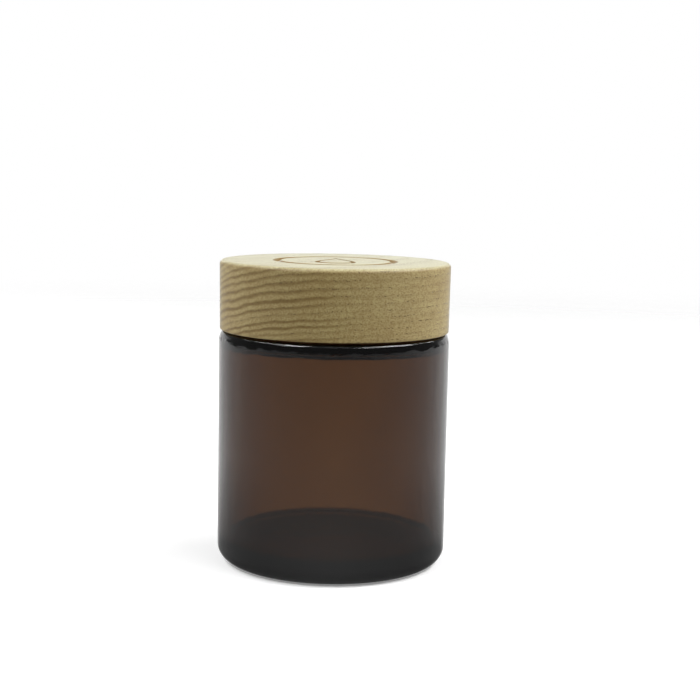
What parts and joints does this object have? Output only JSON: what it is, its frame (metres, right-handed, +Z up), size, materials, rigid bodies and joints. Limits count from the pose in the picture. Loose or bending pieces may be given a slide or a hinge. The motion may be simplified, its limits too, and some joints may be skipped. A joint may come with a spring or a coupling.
{
  "type": "candle jar",
  "caption": "Empty straight-sided amber glass candle jar with a flush turned wooden screw lid; the lid unscrews and lifts clear of the threaded neck.",
  "frame": {"origin": "centre of the jar's base, on the surface it stands on", "axes": "+Z up along the jar's axis, -Y towards the viewer"},
  "size_m": [0.073, 0.073, 0.0958],
  "materials": {
    "amber_glass": "smooth tinted glass",
    "ash_wood": "fine-sanded pale ash, open grain, unvarnished",
    "white_plastic": "moulded polypropylene",
    "foam_liner": "soft closed-cell foam",
    "hot_glue": "set hot-melt glue"
  },
  "bodies": {
    "jar": {"glass_jar": "amber_glass"},
    "liner": {"liner": "foam_liner"},
    "lid": {"wooden_lid": "ash_wood", "threaded_insert": "white_plastic", "glue_ring": "hot_glue"}
  },
  "joints": [
    {"name": "lid_rise", "type": "slide", "parent": "jar", "child": "liner", "axis": [0, 0, 1], "range_m": [0, 0.01482]},
    {"name": "lid_turn", "type": "hinge", "parent": "liner", "child": "lid", "pos_m": [0, 0, 0.0745], "axis": [0, 0, 1], "range_deg": [0, 1260]}
  ],
  "couplings": [
    {"joint": "lid_rise", "follows": "lid_turn", "m_per_rad": 0.00067376}
  ]
}
